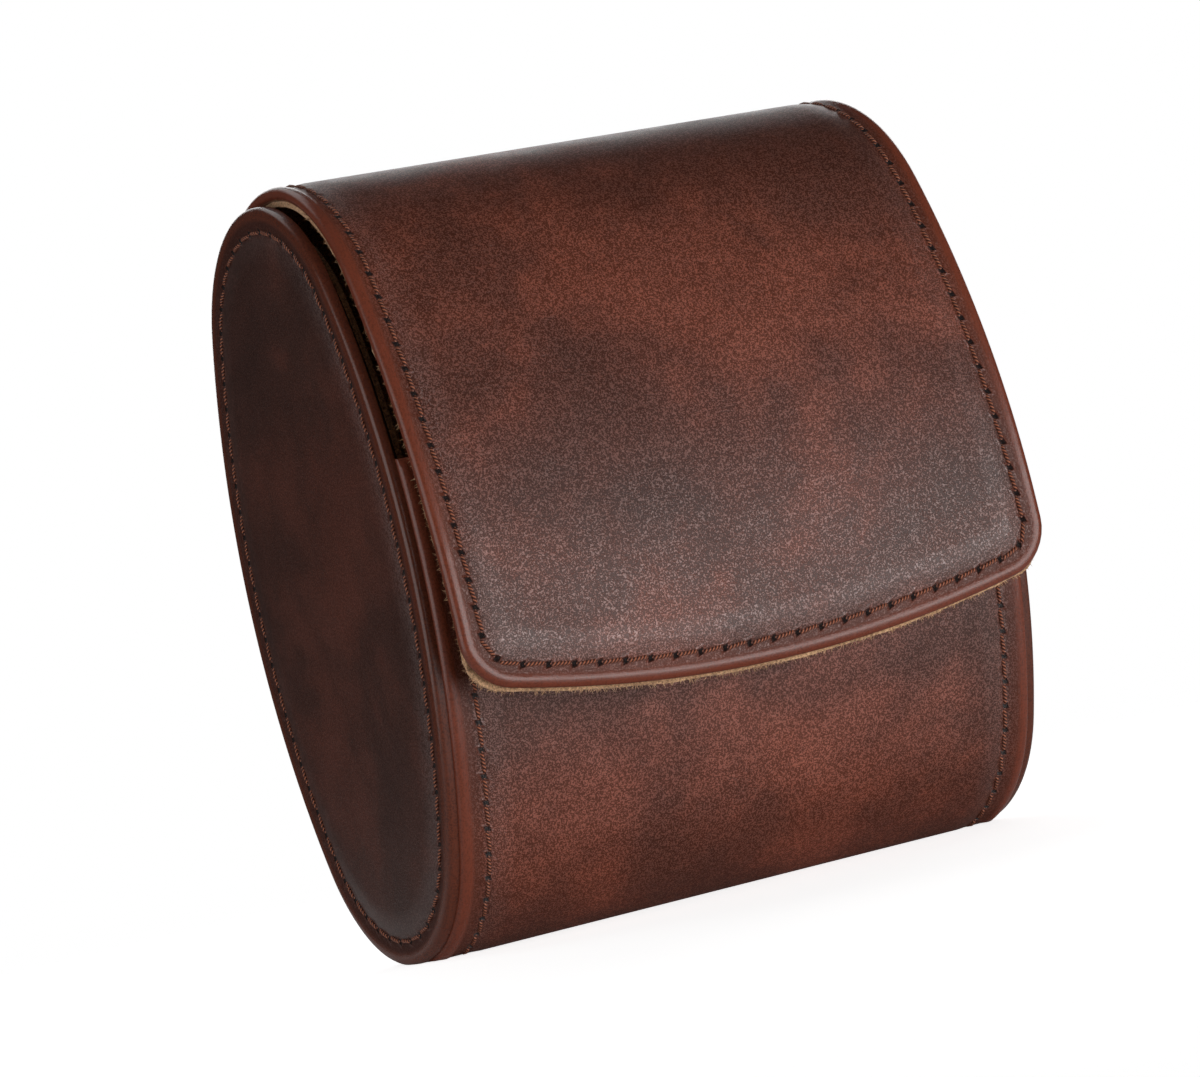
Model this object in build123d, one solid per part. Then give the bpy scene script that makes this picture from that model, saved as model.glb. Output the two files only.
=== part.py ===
"""Leather roll case for one watch: an oval tube on its narrow edge, with a flap over its mouth.

X runs along the tube, -Y is the front where the flap comes down, +Z is up. The pieces are drawn
about the centre of the oval section, then set down so that the origin is the bottom centre of the
bounding box. All sizes are in millimetres.
"""
import os
from math import asin, atan2, cos, degrees, radians, sin, sqrt

from build123d import *

# Driving dimensions of the oval section: two tip arcs joined by two long side arcs
HALF_HEIGHT = 50.0
HALF_DEPTH = 29.3
TIP_RADIUS = 23.3

# Length along X, given from the middle outward
WRAP_HALF = 41.5
PANEL_THICK = 1.5
PANEL_INSET = 0.8
PANEL_RIM_ROUND = 0.7

# Layers of the strip and of the end panels
WRAP_LEATHER = 1.8
WRAP_CORE = 1.8
PANEL_CORE = 2.0
SUEDE = 0.8
PLUG_CLEARANCE = 0.2

# Front lip and front break line, as heights above the section's centre, and the hinge line at the
# back, as an angle on the upper tip arc above the horizontal
LIP_HEIGHT = 12.0
BREAK_HEIGHT = 22.0
HINGE_ANGLE = 30.0

# Narrow flat that the case stands on
BASE_FLAT_WIDTH = 13.0

# Flap: its tip arc is the body's, grown and moved forward until the flap just clears the body, and
# its front arc is flatter than the body's side, so that the free edge stands proud
FLAP_SIDE_GAP = 0.6
FLAP_GROWTH = 1.4
FLAP_STAND_OFF = 0.1
FLAP_FREE_LIFT = 2.0
FLAP_LEATHER = 1.6
FLAP_BOARD = 1.1
FLAP_SUEDE = 0.6
FLAP_CORNER_DROP = 16.5
FLAP_MIDDLE_DROP = 21.5
FLAP_CORNER_ROUND = 5.4
BOARD_MARGIN = 6.0

# Moving parts: gap at a fold line, and how far its pivot stands off the outer face
FOLD_GAP = 0.3
PIVOT_STAND_OFF = 0.3

# Hidden magnet, and the steel keeper under it
DISC_DROP = 6.0
DISC_RADIUS = 5.0
DISC_THICK = 0.8
DISC_CLEARANCE = 0.05

# Cushion
PILLOW_DEPTH = 28.0
PILLOW_HEIGHT = 72.0
PILLOW_ROUND = 13.5
PILLOW_COVER = 1.0
PILLOW_BACK = 16.0
PILLOW_FLOOR_GAP = 0.3
PILLOW_SIDE_GAP = 1.5

# Derived sizes of the body's oval, about the section's centre
SIDE_RADIUS = ((HALF_HEIGHT - TIP_RADIUS) ** 2 + HALF_DEPTH**2 - TIP_RADIUS**2) / (
    2 * (HALF_DEPTH - TIP_RADIUS)
)
TIP_CENTRE = HALF_HEIGHT - TIP_RADIUS
SIDE_CENTRE = SIDE_RADIUS - HALF_DEPTH
JOIN_ANGLE = degrees(atan2(TIP_CENTRE, SIDE_CENTRE))
WRAP_DEPTH = WRAP_LEATHER + WRAP_CORE + SUEDE
FAR = 4 * HALF_HEIGHT
INSIDE = TIP_RADIUS / 2

# Derived sizes of the flap's profile
FLAP_HALF = WRAP_HALF - FLAP_SIDE_GAP
FLAP_THICK = FLAP_LEATHER + FLAP_BOARD + FLAP_SUEDE
FLAP_FORWARD = FLAP_THICK + FLAP_STAND_OFF - FLAP_GROWTH
FLAP_TIP_RADIUS = TIP_RADIUS + FLAP_GROWTH
FRONT_ARC_RISE = SIDE_RADIUS * sin(radians(JOIN_ANGLE))
FLAP_FRONT_RADIUS = 1 / (1 / SIDE_RADIUS - 2 * FLAP_FREE_LIFT / FRONT_ARC_RISE**2)
FLAP_RUN = FLAP_FRONT_RADIUS - FLAP_TIP_RADIUS
FLAP_FRONT_Y = FLAP_RUN * cos(radians(JOIN_ANGLE)) - FLAP_FORWARD
FLAP_FRONT_Z = TIP_CENTRE - FLAP_RUN * sin(radians(JOIN_ANGLE))

# Where the section's centre stands: the flap's front and the body's back are equally far from Y = 0
FLAP_REACH = FLAP_FRONT_RADIUS - FLAP_FRONT_Y
SECTION_Y = (FLAP_REACH - HALF_DEPTH) / 2
SECTION_Z = sqrt(TIP_RADIUS**2 - (BASE_FLAT_WIDTH / 2) ** 2) + TIP_CENTRE


def moved(point, direction, distance):
    return (point[0] + direction[0] * distance, point[1] + direction[1] * distance)


def front_point(height, radius, centre):
    """Point and outward normal on a front arc, at a height above the section's centre."""
    lean = asin((height - centre[1]) / radius)
    normal = (-cos(lean), sin(lean))
    return moved(centre, normal, radius), normal


HINGE_NORMAL = (cos(radians(HINGE_ANGLE)), sin(radians(HINGE_ANGLE)))
HINGE = moved((0, TIP_CENTRE), HINGE_NORMAL, TIP_RADIUS)
LIP, LIP_NORMAL = front_point(LIP_HEIGHT, SIDE_RADIUS, (SIDE_CENTRE, 0))
FLAP_FRONT_CENTRE = (FLAP_FRONT_Y, FLAP_FRONT_Z)
BREAK, BREAK_NORMAL = front_point(BREAK_HEIGHT, FLAP_FRONT_RADIUS, FLAP_FRONT_CENTRE)
HINGE_PIVOT = moved(HINGE, HINGE_NORMAL, PIVOT_STAND_OFF)
BREAK_PIVOT = moved(BREAK, BREAK_NORMAL, PIVOT_STAND_OFF)


def body_oval(growth):
    """Face in the YZ plane: the body's oval section, grown by growth."""
    tip = TIP_RADIUS + growth
    side = SIDE_RADIUS + growth
    tip_span = 180 - 2 * JOIN_ANGLE
    side_span = 2 * JOIN_ANGLE
    arcs = [
        CenterArc((-SIDE_CENTRE, 0), side, -JOIN_ANGLE, side_span),
        CenterArc((0, TIP_CENTRE), tip, JOIN_ANGLE, tip_span),
        CenterArc((SIDE_CENTRE, 0), side, 180 - JOIN_ANGLE, side_span),
        CenterArc((0, -TIP_CENTRE), tip, 180 + JOIN_ANGLE, tip_span),
    ]
    return Plane.YZ * make_face(Curve() + arcs)


def flap_profile(growth):
    """Face in the YZ plane under the flap's outer line grown by growth, closed far below it."""
    tip = CenterArc((-FLAP_FORWARD, TIP_CENTRE), FLAP_TIP_RADIUS + growth, 0, 180 - JOIN_ANGLE)
    front_radius = FLAP_FRONT_RADIUS + growth
    front = CenterArc(FLAP_FRONT_CENTRE, front_radius, 180 - JOIN_ANGLE, 2 * JOIN_ANGLE)
    back = tip @ 0
    low = front @ 1
    close = Polyline(low, (low.X, -HALF_HEIGHT), (back.X, -HALF_HEIGHT), back)
    return Plane.YZ * make_face(tip + front + close)


def along_x(face, start, end):
    """Solid of a YZ face, from x = start to x = end."""
    return Pos(start, 0, 0) * extrude(face, amount=end - start, dir=(1, 0, 0))


def layer(profile, outer, inner, half_length):
    """Wall between two growths of a profile, centred along X."""
    return along_x(profile(outer) - profile(inner), -half_length, half_length)


def region(points):
    """Block with a YZ outline that keeps or removes a stretch of a wall."""
    outline = Plane.YZ * make_face(Polyline(*points, close=True))
    return along_x(outline, -FAR, FAR)


def mouth(gap):
    """The stretch from the front lip over the top to the hinge line, less a gap at the hinge."""
    onto_flap = (-HINGE_NORMAL[1], HINGE_NORMAL[0])
    start = moved(HINGE, onto_flap, gap)
    return region(
        [
            moved(start, HINGE_NORMAL, -INSIDE),
            moved(start, HINGE_NORMAL, INSIDE),
            (HALF_HEIGHT, FAR),
            (-HALF_HEIGHT, FAR),
            moved(LIP, LIP_NORMAL, INSIDE),
            moved(LIP, LIP_NORMAL, -INSIDE),
        ]
    )


def below_break(gap):
    """The stretch of the flap that hangs below its break line, less a gap at that line."""
    down_flap = (-BREAK_NORMAL[1], BREAK_NORMAL[0])
    start = moved(BREAK, down_flap, gap)
    return region(
        [
            moved(start, BREAK_NORMAL, INSIDE),
            moved(start, BREAK_NORMAL, -INSIDE),
            (BREAK[0] + INSIDE, -HALF_HEIGHT),
            (BREAK[0] - INSIDE, -HALF_HEIGHT),
        ]
    )


def disc(point, normal, depth, radius, thickness):
    """Disc that faces along a wall's normal, its outer face at a depth below the wall's point."""
    spot = moved(point, normal, -depth)
    plane = Plane(origin=(0, *spot), z_dir=(0, *normal))
    sunk = (Align.CENTER, Align.CENTER, Align.MAX)
    return plane * Cylinder(radius, thickness, align=sunk)


def closure():
    """Keeper in the front wall and magnet in the flap, with the pockets they sit in."""
    wall, wall_normal = front_point(-DISC_DROP, SIDE_RADIUS, (SIDE_CENTRE, 0))
    cover, cover_normal = front_point(-DISC_DROP, FLAP_FRONT_RADIUS, FLAP_FRONT_CENTRE)
    pocket = DISC_RADIUS + DISC_CLEARANCE
    inner = SIDE_RADIUS - WRAP_LEATHER
    bow = inner - sqrt(inner**2 - pocket**2) + DISC_CLEARANCE
    under_leather = WRAP_LEATHER + bow
    under_cover = FLAP_LEATHER + bow
    depth = DISC_THICK + DISC_CLEARANCE
    return {
        "closure_keeper": disc(wall, wall_normal, under_leather, DISC_RADIUS, DISC_THICK),
        "closure_magnet": disc(cover, cover_normal, under_cover, DISC_RADIUS, DISC_THICK),
        "keeper_pocket": disc(wall, wall_normal, WRAP_LEATHER - bow, pocket, depth + 2 * bow),
        "magnet_pocket": disc(cover, cover_normal, 0, pocket, 2 * FLAP_LEATHER + FLAP_BOARD),
    }


def wrap(keeper_pocket):
    """Strip from the front lip, under and up the back to the hinge line."""
    opening = mouth(0)
    core_inner = -WRAP_LEATHER - WRAP_CORE
    leather = layer(body_oval, 0, -WRAP_LEATHER, WRAP_HALF) - opening
    core = layer(body_oval, -WRAP_LEATHER, core_inner, WRAP_HALF) - opening
    lining = layer(body_oval, core_inner, -WRAP_DEPTH, WRAP_HALF) - opening
    return {
        "wrap_leather": above_base(leather),
        "wrap_core": core - keeper_pocket,
        "wrap_lining": lining,
    }


def above_base(solid):
    """The solid without what hangs below the narrow flat."""
    return solid - Pos(0, 0, -SECTION_Z - HALF_HEIGHT) * Box(FAR, FAR, 2 * HALF_HEIGHT)


def panel(side):
    """End panel: leather with a rounded rim, and the lined board plugged into the tube."""
    leather = along_x(body_oval(-PANEL_INSET), WRAP_HALF, WRAP_HALF + PANEL_THICK)
    rim = leather.faces().sort_by(Axis.X)[-1].edges()
    leather = above_base(fillet(rim, PANEL_RIM_ROUND))
    plug = body_oval(-WRAP_DEPTH - PLUG_CLEARANCE)
    core = along_x(plug, WRAP_HALF - PANEL_CORE, WRAP_HALF)
    lining = along_x(plug, WRAP_HALF - PANEL_CORE - SUEDE, WRAP_HALF - PANEL_CORE)
    name = "right" if side > 0 else "left"
    nodes = {
        f"panel_leather_{name}": leather,
        f"panel_core_{name}": core,
        f"panel_lining_{name}": lining,
    }
    if side < 0:
        nodes = {key: mirror(solid, about=Plane.YZ) for key, solid in nodes.items()}
    return nodes


def flap_outline(margin):
    """Front view of the flap: bowed free edge and round corners, cut back by a margin."""
    half = FLAP_HALF - margin
    corner = margin - FLAP_CORNER_DROP
    middle = margin - FLAP_MIDDLE_DROP
    edge = ThreePointArc((-half, corner), (0, middle), (half, corner))
    sides = Polyline((half, corner), (half, FAR), (-half, FAR), (-half, corner))
    face = make_face(edge + sides)
    lower = face.vertices().sort_by(Axis.Y)[:2]
    face = fillet(lower, FLAP_CORNER_ROUND - margin / 2)
    return extrude(Plane.XZ * face, amount=FAR, both=True)


def flap(magnet_pocket):
    """Flap from the hinge line over the top and down the front, parted at its break line."""
    under_leather = -FLAP_LEATHER
    under_board = under_leather - FLAP_BOARD
    leather = layer(flap_profile, 0, under_leather, FLAP_HALF)
    board = layer(flap_profile, under_leather, under_board, FLAP_HALF)
    top_suede = layer(flap_profile, under_leather, under_leather - FLAP_SUEDE, FLAP_HALF)
    front_suede = layer(flap_profile, under_board, under_board - FLAP_SUEDE, FLAP_HALF)
    top = mouth(FOLD_GAP) - below_break(0)
    front = below_break(FOLD_GAP) & flap_outline(0)
    board_front = below_break(BOARD_MARGIN) & flap_outline(BOARD_MARGIN)
    return {
        "flap_top_leather": leather & top,
        "flap_top_lining": top_suede & top,
        "flap_front_leather": leather & front,
        "flap_front_lining": front_suede & front,
        "flap_stiffener": (board & board_front) - magnet_pocket,
    }


def pillow():
    """Cushion: foam in a suede sleeve with a flat end each side."""
    back_corner = PILLOW_BACK - PILLOW_ROUND
    room = TIP_RADIUS - WRAP_DEPTH - PILLOW_ROUND - PILLOW_FLOOR_GAP
    floor = -TIP_CENTRE - sqrt(room**2 - back_corner**2) - PILLOW_ROUND
    middle = Pos(PILLOW_BACK - PILLOW_DEPTH / 2, floor + PILLOW_HEIGHT / 2)
    size = (PILLOW_DEPTH, PILLOW_HEIGHT)
    core = (PILLOW_DEPTH - 2 * PILLOW_COVER, PILLOW_HEIGHT - 2 * PILLOW_COVER)
    outer = Plane.YZ * (middle * RectangleRounded(*size, PILLOW_ROUND))
    inner = Plane.YZ * (middle * RectangleRounded(*core, PILLOW_ROUND - PILLOW_COVER))
    half = WRAP_HALF - PANEL_CORE - SUEDE - PILLOW_SIDE_GAP
    end = half - PILLOW_COVER
    return {
        "pillow_foam": along_x(inner, -end, end),
        "pillow_cover": along_x(outer - inner, -end, end),
        "pillow_end_left": along_x(outer, -half, -end),
        "pillow_end_right": along_x(outer, end, half),
    }


def main():
    os.makedirs("parts", exist_ok=True)
    nodes = closure()
    keeper_pocket = nodes.pop("keeper_pocket")
    magnet_pocket = nodes.pop("magnet_pocket")
    nodes.update(wrap(keeper_pocket))
    nodes.update(panel(1))
    nodes.update(panel(-1))
    nodes.update(flap(magnet_pocket))
    nodes.update(pillow())
    for name, solid in nodes.items():
        export_step(Pos(0, SECTION_Y, SECTION_Z) * solid, f"parts/{name}.step")
    standing = (SECTION_Y, SECTION_Z)
    print("section centre", standing)
    print("hinge pivot", moved(standing, HINGE_PIVOT, 1))
    print("front break pivot", moved(standing, BREAK_PIVOT, 1))


main()
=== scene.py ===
import math
import random

import bmesh
import bpy
import numpy as np
from mathutils import Matrix, Vector


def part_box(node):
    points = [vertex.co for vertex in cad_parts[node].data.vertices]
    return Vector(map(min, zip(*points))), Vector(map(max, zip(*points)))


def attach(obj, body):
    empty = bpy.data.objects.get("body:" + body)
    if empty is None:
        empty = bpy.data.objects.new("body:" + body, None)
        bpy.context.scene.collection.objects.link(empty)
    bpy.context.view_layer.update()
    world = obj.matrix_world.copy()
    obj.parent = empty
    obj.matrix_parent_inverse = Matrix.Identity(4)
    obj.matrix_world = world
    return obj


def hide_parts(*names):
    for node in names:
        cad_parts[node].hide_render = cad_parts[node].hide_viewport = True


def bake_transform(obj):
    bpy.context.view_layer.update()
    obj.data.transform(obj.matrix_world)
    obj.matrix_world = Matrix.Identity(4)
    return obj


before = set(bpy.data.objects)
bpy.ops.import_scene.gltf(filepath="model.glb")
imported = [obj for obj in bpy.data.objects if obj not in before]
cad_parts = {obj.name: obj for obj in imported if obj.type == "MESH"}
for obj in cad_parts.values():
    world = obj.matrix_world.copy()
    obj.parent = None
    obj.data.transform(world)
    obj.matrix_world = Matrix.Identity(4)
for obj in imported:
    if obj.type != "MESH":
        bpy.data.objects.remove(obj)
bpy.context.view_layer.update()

MM = 0.001

# Oval of the body, in millimetres about the section's centre: Y to the back, Z up
HALF_HEIGHT = 50.0
HALF_DEPTH = 29.3
TIP = 23.3
SIDE = ((HALF_HEIGHT - TIP) ** 2 + HALF_DEPTH**2 - TIP**2) / (2 * (HALF_DEPTH - TIP))
TIP_UP = HALF_HEIGHT - TIP
SIDE_OUT = SIDE - HALF_DEPTH
JOIN = math.degrees(math.atan2(TIP_UP, SIDE_OUT))
BASE_FLAT = 13.0
WALL_END = 41.5
PANEL_INSET = 0.8

# Front arc of the flap, flatter than the body's side
FLAP_GROWTH = 1.4
FLAP_TIP = TIP + FLAP_GROWTH
FLAP_FORWARD = 2.0
FREE_LIFT = 2.0
RISE = SIDE * math.sin(math.radians(JOIN))
FRONT = 1 / (1 / SIDE - 2 * FREE_LIFT / RISE**2)
FRONT_AT = Vector((
    (FRONT - FLAP_TIP) * math.cos(math.radians(JOIN)) - FLAP_FORWARD,
    TIP_UP - (FRONT - FLAP_TIP) * math.sin(math.radians(JOIN)),
))
SECTION_Y = (FRONT - FRONT_AT.x - HALF_DEPTH) / 2
SECTION_Z = math.sqrt(TIP**2 - (BASE_FLAT / 2) ** 2) + TIP_UP

# The strip leaves the body's oval at this angle, near the hinge line, on one wide arc that runs
# smoothly into the front arc. It is parted in two at the seam.
LEAVE = 26.0
HINGE = 30.0
SEAM = 72.0
# Heights of the front lip and of the flap's free end about the section's centre
LIP_HEIGHT = 12.0
FREE_HEIGHT = -21.6
away = Vector((math.cos(math.radians(LEAVE)), math.sin(math.radians(LEAVE))))
across = Vector((0, TIP_UP)) + TIP * away - FRONT_AT
CREST = (across.length_squared - FRONT**2) / (2 * (across.dot(away) - FRONT))
CREST_AT = Vector((0, TIP_UP)) + (TIP - CREST) * away
meet = CREST_AT - FRONT_AT
MEET = math.degrees(math.atan2(meet.y, meet.x))
LIP = 180 - math.degrees(math.asin(LIP_HEIGHT / SIDE))
FREE = 180 - math.degrees(math.asin((FREE_HEIGHT - FRONT_AT.y) / FRONT))
# The arcs run on this far past the lip and past the free end
SPARE = 4.0

# Arcs that the strip is wrapped on: centre, radius, first and last direction in degrees
ARCS = [
    (Vector((SIDE_OUT, 0)), SIDE, LIP - math.degrees(SPARE / SIDE), 180 + JOIN),
    (Vector((0, -TIP_UP)), TIP, 180 + JOIN, 360 - JOIN),
    (Vector((-SIDE_OUT, 0)), SIDE, -JOIN, JOIN),
    (Vector((0, TIP_UP)), TIP, JOIN, LEAVE),
    (CREST_AT, CREST, LEAVE, MEET),
    (FRONT_AT, FRONT, MEET, FREE + math.degrees(SPARE / FRONT)),
]
runs = [math.radians(last - first) * radius for _, radius, first, last in ARCS]
LENGTH = sum(runs) - SPARE
HINGE_AT = sum(runs[:4]) + math.radians(HINGE - LEAVE) * CREST
SEAM_AT = sum(runs[:4]) + math.radians(SEAM - LEAVE) * CREST

# Leather strip as cut: its row of stitches, what lies outside the row, and its free end
ROW_HALF = 37.73
MARGIN = 2.9
BODY_MARGIN = WALL_END - ROW_HALF - MARGIN
CORNER = 5.3
BOW = 5.1
BOARD = 1.8
STITCH_PITCH = 3.44
# Lines across the bowed end are this far apart
END_STEP = 1.4


def add(kind, **settings):
    """Adds a primitive with nothing else selected, and returns it."""
    if bpy.context.object and bpy.context.object.mode == "EDIT":
        bpy.ops.object.mode_set(mode="OBJECT")
    bpy.ops.object.select_all(action="DESELECT")
    kind(**settings)
    return bpy.context.object


def only(piece):
    """Leaves only this piece selected."""
    if bpy.context.object and bpy.context.object.mode == "EDIT":
        bpy.ops.object.mode_set(mode="OBJECT")
    bpy.ops.object.select_all(action="DESELECT")
    bpy.context.view_layer.objects.active = piece
    piece.select_set(True)


def take(piece, kind="VERT"):
    """Opens a piece for editing with nothing selected."""
    only(piece)
    bpy.ops.object.mode_set(mode="EDIT")
    bpy.ops.mesh.select_mode(type=kind)
    bpy.ops.mesh.select_all(action="DESELECT")


def done():
    bpy.ops.object.mode_set(mode="OBJECT")


def pick(piece, test):
    """Selects the points whose place passes the test, and what lies between them."""
    mesh = bmesh.from_edit_mesh(piece.data)
    for point in mesh.verts:
        point.select_set(bool(test(point.co)))
    mesh.select_flush_mode()
    bmesh.update_edit_mesh(piece.data)


def pick_edges(piece, test):
    """Selects the edges whose two ends pass the test."""
    mesh = bmesh.from_edit_mesh(piece.data)
    for edge in mesh.edges:
        edge.select_set(bool(test(edge.verts[0].co, edge.verts[1].co)))
    bmesh.update_edit_mesh(piece.data)


def pick_faces(piece, test):
    """Selects the faces whose middle and normal pass the test."""
    mesh = bmesh.from_edit_mesh(piece.data)
    for face in mesh.faces:
        face.select_set(bool(test(face.calc_center_median(), face.normal)))
    bmesh.update_edit_mesh(piece.data)


def rings(steps):
    """Insets the selected face step by step: how far in, and how far out along its normal."""
    for inward, outward in steps:
        bpy.ops.mesh.inset(thickness=inward, depth=outward, use_even_offset=True)


def face_outline(piece):
    """The selected face's corners in order."""
    mesh = bmesh.from_edit_mesh(piece.data)
    face = [f for f in mesh.faces if f.select][0]
    return [v.co.copy() for v in face.verts]


def copy(piece, name):
    """The same piece again, with its own mesh."""
    made = piece.copy()
    made.data = piece.data.copy()
    made.name = name
    bpy.context.scene.collection.objects.link(made)
    return made


# Guide that the flat strip is wrapped on
GUIDE_STEP = 0.4
points = []
for centre, radius, first, last in ARCS:
    steps = int(radius * math.radians(last - first) / GUIDE_STEP) + 1
    for i in range(steps):
        turn = math.radians(first + (last - first) * i / steps)
        points.append(centre + radius * Vector((math.cos(turn), math.sin(turn))))
turn = math.radians(ARCS[-1][3])
points.append(FRONT_AT + FRONT * Vector((math.cos(turn), math.sin(turn))))
curve = bpy.data.curves.new("guide", "CURVE")
curve.dimensions = "2D"
line = curve.splines.new("POLY")
line.points.add(len(points) - 1)
for spot, place in zip(line.points, points):
    spot.co = (place.x, place.y, 0, 1)
guide = bpy.data.objects.new("guide", curve)
bpy.context.scene.collection.objects.link(guide)

STAND = Matrix(((0, 0, 1, 0), (1, 0, 0, SECTION_Y), (0, 1, 0, SECTION_Z), (0, 0, 0, 1)))


def wrap(piece):
    """Wraps a flat piece round the guide and sets it in its place, in metres."""
    bend = piece.modifiers.new("wrap", "CURVE")
    bend.object = guide
    bend.deform_axis = "POS_X"
    only(piece)
    bpy.ops.object.modifier_apply(modifier="wrap")
    piece.matrix_world = Matrix.Scale(MM, 4) @ STAND
    bpy.ops.object.transform_apply()
    flatten_base(piece)


def set_down(piece):
    """Sets a piece drawn about the section's centre in its place, in metres."""
    piece.matrix_world = Matrix.Scale(MM, 4) @ Matrix.Translation((0, SECTION_Y, SECTION_Z))
    only(piece)
    bpy.ops.object.transform_apply()
    flatten_base(piece)


def flatten_base(piece):
    """Presses what would hang below the narrow flat up to it."""
    take(piece)
    pick(piece, lambda p: p.z < 0)
    bpy.ops.transform.resize(value=(1, 1, 0), center_override=(0, 0, 0))
    done()


# The flap's front is wider than the strip on the body by this share
FLARE = 0.023


def width_share(s):
    """Width of the strip against its width on the body: wider at the front of the flap, from 6 mm
    before the seam, in full from 16 mm before the free end."""
    front = min(1, max(0, (s - SEAM_AT + 6) / (LENGTH - SEAM_AT - 10)))
    return 1 + FLARE * front * front * (3 - 2 * front)


def body_margin(s):
    """How much further the strip's edge stands out from its stitches on the body. It runs out from
    10 mm before the hinge line to 8 mm past it."""
    return BODY_MARGIN * min(1, max(0, (HINGE_AT + 8 - s) / 18))


def blank(name, near, far, half, corner, pitch):
    """Flat piece as cut: X along the strip, Z across it, its outer face towards -Y. The near end is
    square and the far end is bowed, with round corners."""
    piece = add(bpy.ops.mesh.primitive_plane_add, size=1, rotation=(math.pi / 2, 0, 0))
    piece.name = name
    piece.dimensions = (far - BOW - near, 2 * half, 0)
    piece.location = ((far - BOW + near) / 2, 0, 0)
    bpy.ops.object.transform_apply()
    take(piece)
    pick(piece, lambda p: p.x > far - BOW - 0.1)
    bpy.ops.mesh.bevel(offset=corner, segments=8, affect="VERTICES")
    bpy.ops.mesh.select_mode(type="EDGE")
    for sign in (1, -1):
        pick_edges(piece, lambda a, b: abs(a.x - b.x) > 40 and a.z * sign > 0)
        bpy.ops.mesh.subdivide(number_cuts=int((far - near) / pitch / 2))
        bpy.ops.mesh.subdivide(number_cuts=1)
    for end in (near, far - BOW):
        pick_edges(piece, lambda a, b: abs(a.z - b.z) > 20 and abs(a.x - end) < 1)
        bpy.ops.mesh.subdivide(number_cuts=44)
    # Points that the rings would run over beside the square corners
    bpy.ops.mesh.select_mode(type="VERT")
    pick(piece, lambda p: near + 0.1 < p.x < near + 7)
    bpy.ops.mesh.dissolve_verts()
    pick(piece, lambda p: p.x < near + 0.1 and half - 7 < abs(p.z) < half - 0.1)
    bpy.ops.mesh.dissolve_verts()
    start = far - BOW - corner + 0.05
    mesh = bmesh.from_edit_mesh(piece.data)
    for z in sorted({round(abs(v.co.z), 3) for v in mesh.verts if v.co.x > start}):
        pick(piece, lambda p: p.x > start and abs(abs(p.z) - z) < 0.002)
        bpy.ops.transform.translate(value=(BOW * (1 - (z / half) ** 2), 0, 0))
    return piece


def stations(piece):
    """Places along the strip of the points on its long sides, and some more near the lip."""
    mesh = bmesh.from_edit_mesh(piece.data)
    side = max(v.co.z for v in mesh.verts)
    found = sorted({round(v.co.x, 4) for v in mesh.verts if v.co.z > side - 0.01})
    return [found[0] + 1.5 * i for i in range(1, 5)] + found[1:]


def cut(places, along):
    """Lines across or along the flat piece, so that it can bend and swell."""
    for place in places:
        bpy.ops.mesh.select_all(action="SELECT")
        spot = (0, 0, place) if along else (place, 0, 0)
        bpy.ops.mesh.bisect(plane_co=spot, plane_no=(0, 0, 1) if along else (1, 0, 0), threshold=0.001)


def end_lines(last, far):
    """Places for lines across the bowed end, from the last of the stations on."""
    return [last + END_STEP * i for i in range(1, int((far - last) / END_STEP) - 2)]


def widen(piece, places, last, row_half):
    """Gives the strip its width at each place."""
    whole = [s for s in places if body_margin(s) >= BODY_MARGIN][-1]
    for sign in (1, -1):
        pick(piece, lambda p: p.x < whole + 0.05 and p.z * sign > row_half)
        bpy.ops.transform.translate(value=(0, 0, BODY_MARGIN * sign))
        for s in [s for s in places if 0 < body_margin(s) < BODY_MARGIN]:
            pick(piece, lambda p: abs(p.x - s) < 0.05 and p.z * sign > row_half)
            bpy.ops.transform.translate(value=(0, 0, body_margin(s) * sign))
    scale_width(piece, places, last)


def scale_width(piece, places, last):
    """Widens a strip towards its free end. The rings have drawn the points of the round corner a
    little way back along the strip."""
    for s in [s for s in places if width_share(s) != 1 and s < last]:
        pick(piece, lambda p: abs(p.x - s) < 0.05)
        bpy.ops.transform.resize(value=(1, 1, width_share(s)), center_override=(0, 0, 0))
    pick(piece, lambda p: p.x > last - 0.7)
    bpy.ops.transform.resize(value=(1, 1, width_share(last)), center_override=(0, 0, 0))


def nearest(spots, path):
    """For each flat place: how far along the closed path its nearest point is, and how far beside
    it the place is, positive inside the path."""
    path = np.array(path)
    following = np.roll(path, -1, axis=0)
    run = following - path
    size = np.maximum(np.linalg.norm(run, axis=1), 1e-9)
    before = np.concatenate(([0], np.cumsum(size)[:-1]))
    spots = np.array(spots)
    area = 0.5 * np.sum(path[:, 0] * following[:, 1] - following[:, 0] * path[:, 1])
    along, beside = np.zeros(len(spots)), np.zeros(len(spots))
    for i, spot in enumerate(spots):
        share = np.clip(((spot - path) * run).sum(1) / size**2, 0, 1)
        gap = spot - (path + share[:, None] * run)
        far = np.linalg.norm(gap, axis=1)
        k = int(np.argmin(far))
        side = run[k, 0] * gap[k, 1] - run[k, 1] * gap[k, 0]
        along[i] = before[k] + share[k] * size[k]
        beside[i] = far[k] * (1 if side * area > 0 else -1)
    return along, beside, float(size.sum())


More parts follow.
